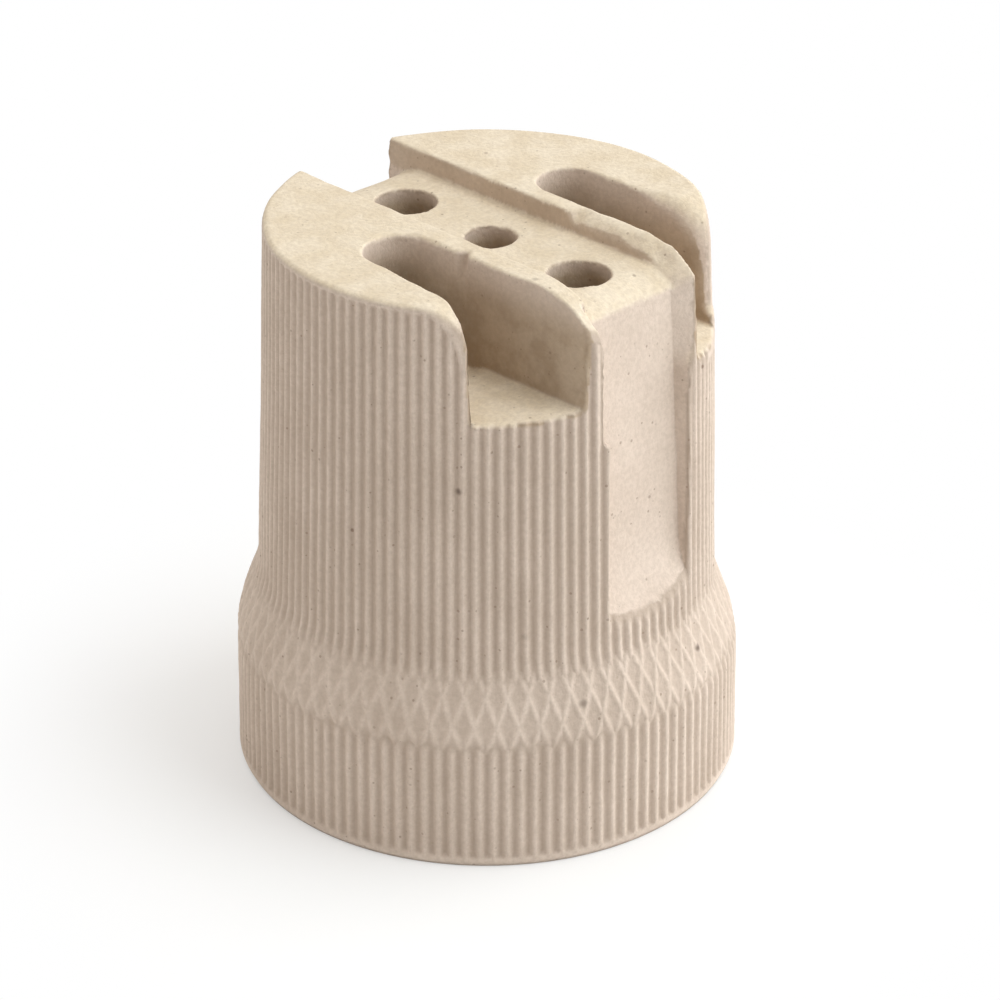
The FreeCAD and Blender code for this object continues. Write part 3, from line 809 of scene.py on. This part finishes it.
class Sock:
    """A socket of a material's nodes, with arithmetic that adds Math nodes."""

    def __init__(self, mat, socket):
        self.mat = mat
        self.socket = socket

    def also(self, name):
        """Another output of the same node."""
        return Sock(self.mat, self.socket.node.outputs[name])

    def __add__(self, other):
        return self.mat.math("ADD", self, other)

    def __sub__(self, other):
        return self.mat.math("SUBTRACT", self, other)

    def __rsub__(self, other):
        return self.mat.math("SUBTRACT", other, self)

    def __mul__(self, other):
        return self.mat.math("MULTIPLY", self, other)

    __radd__ = __add__
    __rmul__ = __mul__


class Mat:
    """A node material with one Principled shader, whose constants are set on its own sockets."""

    def __init__(self, name, **constants):
        self.material = bpy.data.materials.new(name)
        self.material.use_nodes = True
        self.tree = self.material.node_tree
        self.tree.nodes.clear()
        self.shader = self.tree.nodes.new("ShaderNodeBsdfPrincipled")
        self.out = self.tree.nodes.new("ShaderNodeOutputMaterial")
        self.tree.links.new(self.shader.outputs[0], self.out.inputs[0])
        for key, value in constants.items():
            self.shader.inputs[key.replace("_", " ")].default_value = value

    def put(self, socket, value):
        """Links a socket to another, or sets its value."""
        if isinstance(value, Sock):
            self.tree.links.new(value.socket, socket)
        else:
            socket.default_value = value

    def node(self, kind, inputs, out=0, **settings):
        """Any node: its type, its settings, which are set first, and its sockets' values or links."""
        node = self.tree.nodes.new("ShaderNode" + kind)
        for key, value in settings.items():
            setattr(node, key, value)
        for key, value in inputs.items():
            self.put(node.inputs[key], value)
        return Sock(self, node.outputs[out])

    def math(self, operation, *values):
        return self.node("Math", dict(enumerate(values)), operation=operation)

    def place(self):
        return self.node("TexCoord", {}, "Object")

    def field(self, name):
        return self.node("Attribute", {}, "Fac", attribute_name=name)

    def noise(self, where, scale, detail=3.0, rough=0.55):
        return self.node("TexNoise", {"Vector": where, "Scale": scale, "Detail": detail,
                                      "Roughness": rough})

    def squeezed(self, where, x, y, z):
        """The place with its directions scaled, so that a pattern on it is drawn out."""
        return self.node("Mapping", {"Vector": where, "Scale": (x, y, z)})

    def steps(self, value, low, high, at_low=0.0, at_high=1.0):
        return self.node("MapRange", {0: value, 1: low, 2: high, 3: at_low, 4: at_high},
                         interpolation_type="SMOOTHSTEP")

    def blend(self, share, a, b):
        """From colour a at share 0 to colour b at share 1."""
        return self.node("Mix", {0: share, 6: a, 7: b}, 2, data_type="RGBA")

    def specks(self, where, per_metre, share, small, large):
        """Round spots in that share of the cells of a cell pattern, from small to large shares of a
        cell in radius, each of its own strength."""
        cell = self.node("TexVoronoi", {"Vector": where, "Scale": per_metre}, "Distance")
        dice = self.node("SeparateColor", {0: cell.also("Color")})
        chosen = self.steps(dice, 1 - share, 1 - share + 0.01)
        radius = self.steps(dice.also(1), 0, 1, small, large)
        spot = self.steps(cell - radius, -0.05, 0.05, 1.0, 0.0)
        return spot * chosen * self.steps(dice.also(2), 0, 0.7, 0.35, 1.0)

    def link(self, name, value):
        self.put(self.shader.inputs[name], value)

    def bump(self, height, strength, distance):
        self.link("Normal", self.node("Bump", {"Height": height, "Strength": strength,
                                               "Distance": distance}))


def rgb(r, g, b):
    return (r, g, b, 1.0)


def porcelain_material():
    """Unglazed clay: pinkish grey, with a sandy grain and iron specks of three sizes. On it are painted
    light, a lighter yellow on faces that look up, and painted shade, brown in the slots, holes,
    groove walls and rib roots."""
    m = Mat("unglazed_porcelain", IOR=1.5)
    at = m.place()
    cloud = m.noise(at, 110.0)
    sand = m.noise(at, 2600.0, 2.0, 0.7)
    clay = m.blend(m.steps(cloud, 0.3, 0.7), rgb(0.64, 0.527, 0.44), rgb(0.715, 0.597, 0.507))
    # Painted shade: the roots of the ribs darkened towards brown.
    clay = m.blend(m.field("groove") * 0.7, clay, rgb(0.42, 0.325, 0.255))
    mottle = m.noise(at, 380.0, 4.0, 0.65)
    # Painted light: a lighter yellow blended in on faces that look up.
    painted_top_light = m.blend(m.steps(mottle, 0.32, 0.68), rgb(0.71, 0.60, 0.44), rgb(0.80, 0.70, 0.55))
    clay = m.blend(m.field("crown") * 0.9, clay, painted_top_light)
    # Painted shade: brown on the walls of slots, holes and groove, deeper down more.
    shade = m.blend(m.steps(mottle, 0.35, 0.65), rgb(0.38, 0.275, 0.175), rgb(0.50, 0.385, 0.27))
    clay = m.blend(m.field("shade"), clay, shade)
    clay = m.blend(m.steps(sand, 0.3, 0.7, 0.0, 0.22), clay, rgb(0.36, 0.28, 0.215))
    fine = m.specks(at, 2400.0, 0.09, 0.12, 0.3)
    some = m.specks(at, 900.0, 0.05, 0.07, 0.17)
    big = m.specks(at, 260.0, 0.08, 0.06, 0.1)
    clay = m.blend(fine * 0.5, clay, rgb(0.24, 0.16, 0.11))
    clay = m.blend(some * 0.65, clay, rgb(0.17, 0.10, 0.065))
    clay = m.blend(big * 0.85, clay, rgb(0.09, 0.052, 0.035))
    # The base colour holds the painted light and shade together with the clay's own tones and specks.
    m.link("Base Color", clay)
    m.link("Roughness", m.steps(sand, 0.2, 0.8, 0.74, 0.92))
    m.bump(sand + cloud * 2.0 - fine * 0.2 - some * 0.4 - big * 0.7, 0.5, 0.00012)
    return m.material


def sheet_brass():
    """Rolled brass: drawn lines round the shell, a warm tarnish in patches, small dark spots."""
    m = Mat("rolled_brass", Metallic=1.0)
    at = m.place()
    drawn = m.noise(m.squeezed(at, 1.0, 1.0, 14.0), 260.0, 4.0, 0.6)
    tarnish = m.steps(m.noise(at, 160.0, 4.0, 0.6), 0.45, 0.75)
    spots = m.specks(at, 900.0, 0.06, 0.08, 0.2)
    brass = m.blend(m.steps(drawn, 0.3, 0.7), rgb(0.78, 0.56, 0.25), rgb(0.88, 0.68, 0.35))
    brass = m.blend(tarnish * 0.55, brass, rgb(0.56, 0.36, 0.16))
    m.link("Base Color", m.blend(spots * 0.6, brass, rgb(0.25, 0.14, 0.07)))
    m.link("Roughness", m.steps(drawn + tarnish * 0.6, 0.3, 1.2, 0.16, 0.42))
    m.bump(drawn, 0.25, 0.00004)
    return m.material


def strip_bronze():
    """Hard rolled strip: redder, with fine lines along it and a tint in patches."""
    m = Mat("spring_bronze_strip", Metallic=1.0)
    at = m.place()
    lines = m.noise(m.squeezed(at, 18.0, 1.0, 1.0), 200.0, 3.0, 0.6)
    tint = m.steps(m.noise(at, 220.0), 0.4, 0.7)
    m.link("Base Color", m.blend(m.steps(lines, 0.3, 0.7) * 0.7 + tint * 0.3, rgb(0.64, 0.38, 0.20),
                                 rgb(0.82, 0.55, 0.32)))
    m.link("Roughness", m.steps(lines, 0.25, 0.75, 0.2, 0.36))
    m.bump(lines, 0.2, 0.00003)
    return m.material


def turned_brass():
    """Brass that was turned or pressed: fine even grain and dull patches."""
    m = Mat("turned_brass", Metallic=1.0)
    at = m.place()
    grain = m.noise(at, 1500.0, 3.0)
    dull = m.steps(m.noise(at, 330.0), 0.4, 0.7)
    m.link("Base Color", m.blend(dull, rgb(0.84, 0.64, 0.33), rgb(0.66, 0.46, 0.22)))
    m.link("Roughness", m.steps(grain + dull, 0.3, 1.5, 0.2, 0.46))
    m.bump(grain, 0.25, 0.00003)
    return m.material


def plated_steel():
    """Zinc plating: bluish grey with faint yellow patches and fine scratches."""
    m = Mat("zinc_plated_steel", Metallic=1.0)
    at = m.place()
    patch = m.steps(m.noise(at, 420.0), 0.4, 0.65)
    scratch = m.noise(m.squeezed(at, 1.0, 9.0, 3.0), 700.0, 3.0, 0.7)
    zinc = m.blend(patch, rgb(0.60, 0.63, 0.66), rgb(0.70, 0.68, 0.60))
    m.link("Base Color", m.blend(m.steps(scratch, 0.55, 0.8) * 0.5, zinc, rgb(0.42, 0.43, 0.44)))
    m.link("Roughness", m.steps(scratch + patch * 0.4, 0.3, 1.1, 0.24, 0.48))
    m.bump(scratch, 0.25, 0.00003)
    return m.material


def dress(obj, material, body, node):
    """Gives a new piece its material and body, and hides the CAD node that it stands for."""
    obj.data.materials.clear()
    obj.data.materials.append(material)
    if body:
        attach(obj, body)
    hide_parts(node)


BRASS = sheet_brass()
BRONZE = strip_bronze()
TURNED = turned_brass()
STEEL = plated_steel()

dress(build_body(), porcelain_material(), "holder", "ceramic_body")
dress(join("screw_shell_rolled", build_shell(), build_lug()), BRASS, "holder", "screw_shell")

contact = build_contact()
dress(contact, BRONZE, None, "centre_contact")
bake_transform(contact)

for lead, side in (("live", -1), ("neutral", 1)):
    dress(build_screw("slotted_screw_" + lead, side), STEEL, "screw_" + lead, "terminal_screw_" + lead)

CAD_LOOKS = {"terminal_bush": TURNED, "terminal_plate": TURNED, "clamp_washer": STEEL,
             "spring_washer": STEEL}
for name, obj in NODES.items():
    for start, material in CAD_LOOKS.items():
        if name.startswith(start):
            obj.data.materials.clear()
            obj.data.materials.append(material)


# Floor, with the distances from the axis between which its share of white grows
FLOOR_HALF = 2000
FLOOR_Z = -0.02
WHITE_FROM = 0.0222
WHITE_TO = 0.05
WHITE_NEAR = 0.4


def studio_floor():
    """Pale floor. To the camera and in polished metal it is white away from the object, and close
    to it the white is mixed with the lit floor, which keeps the object's shadow."""
    corners = [(a * FLOOR_HALF, b * FLOOR_HALF, FLOOR_Z) for a, b in ((-1, -1), (1, -1), (1, 1), (-1, 1))]
    floor = make_mesh("floor", corners, [(0, 1, 2, 3)])
    m = Mat("pale_floor", Roughness=0.95)
    m.link("Base Color", rgb(0.92, 0.92, 0.92))
    white = m.node("Emission", {"Color": rgb(1, 1, 1), "Strength": 1.0})
    away = m.node("VectorMath", {0: m.place()}, "Value", operation="LENGTH")
    seen = m.node("LightPath", {}, "Is Camera Ray")
    seen = seen + seen.also("Is Glossy Ray") + seen.also("Is Transmission Ray")
    share = seen * m.steps(away, WHITE_FROM, WHITE_TO, WHITE_NEAR, 1.0)
    mixed = m.node("MixShader", {0: share, 1: Sock(m, m.shader.outputs[0]), 2: white})
    m.put(m.out.inputs[0], mixed)
    floor.data.materials.append(m.material)


# Camera, fitted to the rims, ribs and crown, in metres and radians. The lamps point at AIM
AIM = (0, 0, 0.025)
YAW = math.radians(45.5)
CAMERA_OUT = 0.2709
CAMERA_UP = 0.16847
CAMERA_PITCH = 0.495
CAMERA_SWING = 0.004
CAMERA_LENS = 36.0 * 3.7207


def beside(right, back, up):
    """A place given as the camera sees it: to the right, away from the camera and up, in metres."""
    c = math.cos(YAW)
    s = math.sin(YAW)
    return (right * c - back * s, right * s + back * c, up)


def lamp(name, place, size, power, colour):
    """Soft round lamp that points at the object."""
    light = bpy.data.lights.new(name, "AREA")
    light.shape = "DISK"
    light.size = size
    light.energy = power
    light.color = colour
    obj = bpy.data.objects.new(name, light)
    obj.location = place
    obj.rotation_euler = (Vector(AIM) - Vector(place)).to_track_quat("-Z", "Y").to_euler()
    bpy.context.scene.collection.objects.link(obj)


def studio_world():
    """Soft even light all round, which the camera and polished metal see as white."""
    world = bpy.data.worlds.new("studio")
    bpy.context.scene.world = world
    world.use_nodes = True
    tree = world.node_tree
    tree.nodes.clear()
    path = tree.nodes.new("ShaderNodeLightPath")
    seen = tree.nodes.new("ShaderNodeBackground")
    seen.inputs[0].default_value = (1, 1, 1, 1)
    soft = tree.nodes.new("ShaderNodeBackground")
    soft.inputs[0].default_value = (1.0, 0.96, 0.90, 1)
    soft.inputs[1].default_value = 0.38
    pick = tree.nodes.new("ShaderNodeMixShader")
    out = tree.nodes.new("ShaderNodeOutputWorld")
    share = path.outputs["Is Camera Ray"]
    for kind in ("Is Glossy Ray", "Is Transmission Ray"):
        either = tree.nodes.new("ShaderNodeMath")
        either.operation = "MAXIMUM"
        tree.links.new(share, either.inputs[0])
        tree.links.new(path.outputs[kind], either.inputs[1])
        share = either.outputs[0]
    tree.links.new(share, pick.inputs[0])
    tree.links.new(soft.outputs[0], pick.inputs[1])
    tree.links.new(seen.outputs[0], pick.inputs[2])
    tree.links.new(pick.outputs[0], out.inputs[0])


def studio_camera():
    """The camera at the photograph's viewing angle."""
    data = bpy.data.cameras.new("camera")
    data.sensor_width = 36.0
    data.sensor_fit = "HORIZONTAL"
    data.lens = CAMERA_LENS
    camera = bpy.data.objects.new("camera", data)
    camera.location = (CAMERA_OUT * math.sin(YAW), -CAMERA_OUT * math.cos(YAW), CAMERA_UP)
    camera.rotation_euler = (math.pi / 2 - CAMERA_PITCH, 0, YAW - CAMERA_SWING)
    bpy.context.scene.collection.objects.link(camera)
    bpy.context.scene.camera = camera


studio_floor()
studio_world()
studio_camera()
lamp("key", beside(0.64, -0.2, 0.6), 0.8, 5.2, (0.93, 0.98, 1.0))
lamp("fill", beside(-0.85, -0.1, 0.32), 0.7, 1.6, (1.0, 0.97, 0.93))
lamp("top", beside(0.05, 0.15, 0.95), 0.6, 3.0, (1.0, 0.98, 0.93))
lamp("side", beside(0.95, 0.4, 0.25), 0.5, 5.0, (0.97, 0.99, 1.0))
bpy.context.scene.view_settings.view_transform = "Standard"
